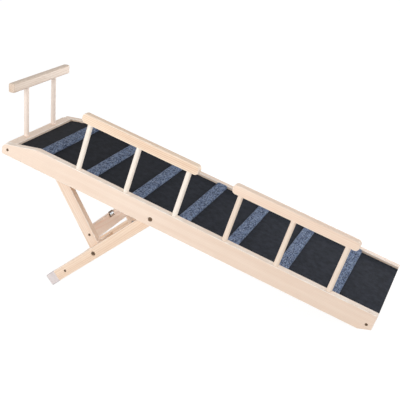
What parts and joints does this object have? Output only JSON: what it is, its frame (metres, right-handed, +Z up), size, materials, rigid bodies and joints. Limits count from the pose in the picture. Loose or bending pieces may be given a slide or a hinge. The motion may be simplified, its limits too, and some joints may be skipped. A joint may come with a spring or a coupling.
{
  "type": "folding pet ramp",
  "caption": "Free-standing wooden pet ramp with a bent mat deck and raised tread strips, plug-in side rails and end guard, and a folding leg frame with propping struts.",
  "frame": {"origin": "on the floor, in the middle of the bevelled face under the low end bar", "axes": "+X down the ramp past its low end, +Y towards the far side board, +Z up"},
  "size_m": [1.2743, 0.418, 0.7136],
  "materials": {
    "pine": "clear satin varnish on planed pine",
    "dowel_wood": "sanded round hardwood",
    "panel_ply": "bare plywood",
    "grip_mat": "matt ribbed grip matting",
    "strip_carpet": "short heather carpet pile",
    "foot_cap": "cloudy soft plastic",
    "dark_steel": "blackened",
    "zinc_steel": "zinc plated"
  },
  "bodies": {
    "deck": {"near_side_board": "pine", "far_side_board": "pine", "top_cross_bar": "pine", "low_end_bar": "pine", "platform_panel": "panel_ply", "slope_panel": "panel_ply", "bend_batten": "pine", "grip_mat": "grip_mat", "tread_strip_1": "strip_carpet", "tread_strip_2": "strip_carpet", "tread_strip_3": "strip_carpet", "tread_strip_4": "strip_carpet", "tread_strip_5": "strip_carpet", "tread_strip_6": "strip_carpet", "tread_strip_7": "strip_carpet", "near_rack": "pine", "far_rack": "pine", "catch_keeper": "zinc_steel", "frame_screws": "dark_steel", "leg_bolts": "dark_steel", "leg_nuts": "zinc_steel", "leg_washers": "zinc_steel"},
    "leg_frame": {"near_leg": "pine", "far_leg": "pine", "leg_spreader": "pine", "near_foot_cap": "foot_cap", "far_foot_cap": "foot_cap", "spreader_screws": "dark_steel", "strut_bolts": "dark_steel", "strut_nuts": "zinc_steel", "strut_washers": "zinc_steel"},
    "strut_frame": {"near_strut": "pine", "far_strut": "pine", "strut_rod": "dowel_wood", "strut_cross_board": "pine", "cross_board_screws": "dark_steel", "fold_catch": "zinc_steel"},
    "upper_rail_section": {"upper_rail": "pine", "upper_rail_post_1": "dowel_wood", "upper_rail_post_2": "dowel_wood", "upper_rail_post_3": "dowel_wood"},
    "lower_rail_section": {"lower_rail": "pine", "lower_rail_post_1": "dowel_wood", "lower_rail_post_2": "dowel_wood", "lower_rail_post_3": "dowel_wood"},
    "end_guard": {"guard_rail": "pine", "guard_post_near": "dowel_wood", "guard_post_far": "dowel_wood"}
  },
  "joints": [
    {"name": "leg_fold", "type": "hinge", "parent": "deck", "child": "leg_frame", "pos_m": [-0.69448, 0, 0.29145], "axis": [0, -1, 0], "range_deg": [0, 125]},
    {"name": "strut_fold", "type": "hinge", "parent": "leg_frame", "child": "strut_frame", "pos_m": [-0.92821, 0, 0.13726], "axis": [0, -1, 0], "range_deg": [-81.8, 0]},
    {"name": "upper_rail_lift", "type": "slide", "parent": "deck", "child": "upper_rail_section", "axis": [0.3679, 0, 0.9299], "range_m": [0, 0.04]},
    {"name": "lower_rail_lift", "type": "slide", "parent": "deck", "child": "lower_rail_section", "axis": [0.3679, 0, 0.9299], "range_m": [0, 0.04]},
    {"name": "end_guard_lift", "type": "slide", "parent": "deck", "child": "end_guard", "axis": [0.1234, 0, 0.9924], "range_m": [0, 0.04]}
  ],
  "couplings": [
    {"joint": "strut_fold", "follows": "leg_fold", "ratio": -0.6528}
  ]
}
